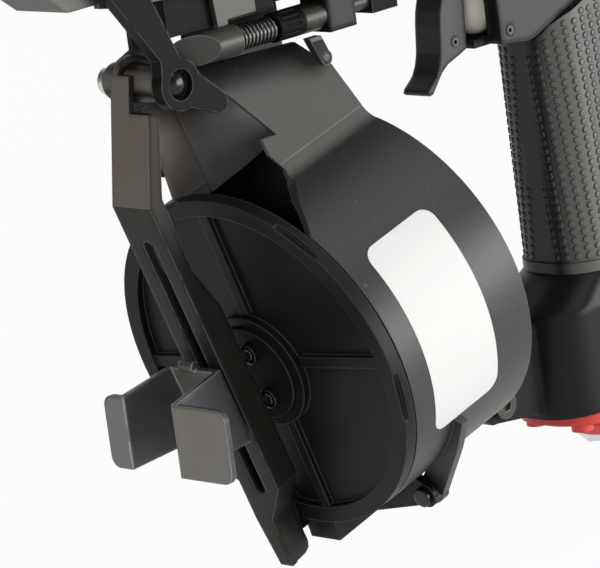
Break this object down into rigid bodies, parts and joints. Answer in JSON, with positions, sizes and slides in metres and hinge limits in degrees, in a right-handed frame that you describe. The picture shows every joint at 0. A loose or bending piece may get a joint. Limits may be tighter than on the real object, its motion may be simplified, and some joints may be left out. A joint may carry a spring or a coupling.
{
  "type": "pneumatic coil roofing nailer",
  "caption": "Air-driven nail gun for roofing, with a round hinged coil magazine, shingle gauge, sprung contact foot, trigger, rubber grip and air inlet.",
  "frame": {"origin": "centre of the nail exit at the contact foot's end face", "axes": "+X along the drive axis from the nose to the head cap, -Z along the handle, -Y to the side where the magazine opens"},
  "size_m": [0.2872, 0.124, 0.256],
  "materials": {
    "black_casting": "painted satin black",
    "rubber": "matt, with round pimples",
    "red_plastic": "satin",
    "inlet_metal": "turned",
    "black_screw": "black oxide",
    "black_plastic": "matt",
    "cover_sheet": "painted satin black",
    "blued_steel": "blackened",
    "bright_steel": "ground",
    "spring_wire": "bright wire",
    "alloy": "machined",
    "seal_plastic": "matt",
    "gasket": "matt",
    "trigger_grey": "satin"
  },
  "bodies": {
    "tool": {"body_housing": "black_casting", "cylinder_sleeve": "alloy", "bumper": "rubber", "head_cap": "black_casting", "cap_gasket": "gasket", "cap_bolts": "black_screw", "deflector_bolt": "black_screw", "nose_body": "blued_steel", "nose_bolts": "black_screw", "near_arm": "blued_steel", "far_arm": "blued_steel", "arm_screws": "black_screw", "gauge_pin": "black_screw", "pin_sleeve": "bright_steel", "pin_clip": "spring_wire", "gauge_bar": "blued_steel", "bar_screw": "black_screw", "canister_bottom": "black_plastic", "hub_plate": "black_plastic", "hub_screws": "black_screw", "magazine_base": "cover_sheet", "cover_hinge_pin": "black_screw", "rear_bracket": "cover_sheet", "bracket_bolt": "black_screw", "coil_post": "bright_steel", "feed_cylinder": "black_casting", "trigger_pin": "bright_steel", "valve_pin": "bright_steel", "valve_cap": "seal_plastic", "grip": "rubber", "end_cap": "red_plastic", "end_cap_screws": "black_screw", "inlet_bushing": "inlet_metal", "contact_spring": "spring_wire", "head_valve_spring": "spring_wire", "feed_spring": "spring_wire"},
    "drive": {"piston": "alloy", "piston_ring": "rubber", "driver_blade": "bright_steel"},
    "head_valve": {"head_valve": "seal_plastic"},
    "deflector": {"exhaust_deflector": "black_plastic"},
    "contact": {"contact_foot": "bright_steel", "contact_link": "bright_steel", "contact_rod": "bright_steel", "rod_sleeve": "bright_steel", "link_foot": "blued_steel"},
    "dial": {"depth_dial": "black_plastic", "dial_ring": "bright_steel"},
    "gauge": {"shingle_gauge": "blued_steel", "gauge_clamp": "black_screw"},
    "cover": {"magazine_cover": "cover_sheet", "latch_pin": "bright_steel"},
    "latch": {"cover_latch": "cover_sheet"},
    "platform": {"nail_platform": "black_plastic"},
    "feed": {"feed_piston": "alloy", "feed_pawl": "bright_steel"},
    "trigger": {"trigger": "trigger_grey", "lever_pin": "bright_steel"},
    "lever": {"trigger_lever": "bright_steel"},
    "stem": {"valve_stem": "alloy"}
  },
  "joints": [
    {"name": "drive_slide", "type": "slide", "parent": "tool", "child": "drive", "axis": [-1, 0, 0], "range_m": [0, 0.078]},
    {"name": "head_valve_slide", "type": "slide", "parent": "tool", "child": "head_valve", "axis": [1, 0, 0], "range_m": [0, 0.005], "stiffness_N_per_m": 2000, "springref_m": -0.01, "deforming": ["head_valve_spring"]},
    {"name": "deflector_turn", "type": "hinge", "parent": "tool", "child": "deflector", "pos_m": [0.278, 0, 0], "axis": [1, 0, 0], "continuous": true},
    {"name": "contact_slide", "type": "slide", "parent": "tool", "child": "contact", "axis": [1, 0, 0], "range_m": [0, 0.008], "stiffness_N_per_m": 400, "springref_m": -0.012, "deforming": ["contact_spring"]},
    {"name": "dial_turn", "type": "hinge", "parent": "tool", "child": "dial", "pos_m": [0.104, -0.0135, -0.0359], "axis": [1, 0, 0], "continuous": true},
    {"name": "gauge_slide", "type": "slide", "parent": "tool", "child": "gauge", "axis": [0.342, 0, -0.9397], "range_m": [-0.012, 0.012]},
    {"name": "cover_hinge", "type": "hinge", "parent": "tool", "child": "cover", "pos_m": [0.11304, -0.0404, -0.19784], "axis": [0.9659, 0, 0.2588], "range_deg": [0, 105]},
    {"name": "latch_turn", "type": "hinge", "parent": "cover", "child": "latch", "pos_m": [0.1095, -0.0184, -0.0495], "axis": [0, -1, 0], "range_deg": [0, 35]},
    {"name": "platform_slide", "type": "slide", "parent": "tool", "child": "platform", "axis": [0.9659, 0, 0.2588], "range_m": [0, 0.024]},
    {"name": "feed_slide", "type": "slide", "parent": "tool", "child": "feed", "axis": [0, 0, -1], "range_m": [0, 0.006], "stiffness_N_per_m": 300, "springref_m": -0.008, "deforming": ["feed_spring"]},
    {"name": "trigger_hinge", "type": "hinge", "parent": "tool", "child": "trigger", "pos_m": [0.187, 0, -0.041], "axis": [0, -1, 0], "range_deg": [0, 8], "stiffness_Nm_per_rad": 0.4, "springref_deg": -17.19},
    {"name": "lever_hinge", "type": "hinge", "parent": "trigger", "child": "lever", "pos_m": [0.1848, 0, -0.0612], "axis": [0, 1, 0], "range_deg": [0, 3], "stiffness_Nm_per_rad": 0.02, "springref_deg": -17.19},
    {"name": "stem_slide", "type": "slide", "parent": "tool", "child": "stem", "axis": [1, 0, 0], "range_m": [0, 0.002]}
  ],
  "couplings": [
    {"joint": "stem_slide", "follows": "trigger_hinge", "m_per_rad": 0.0115}
  ]
}
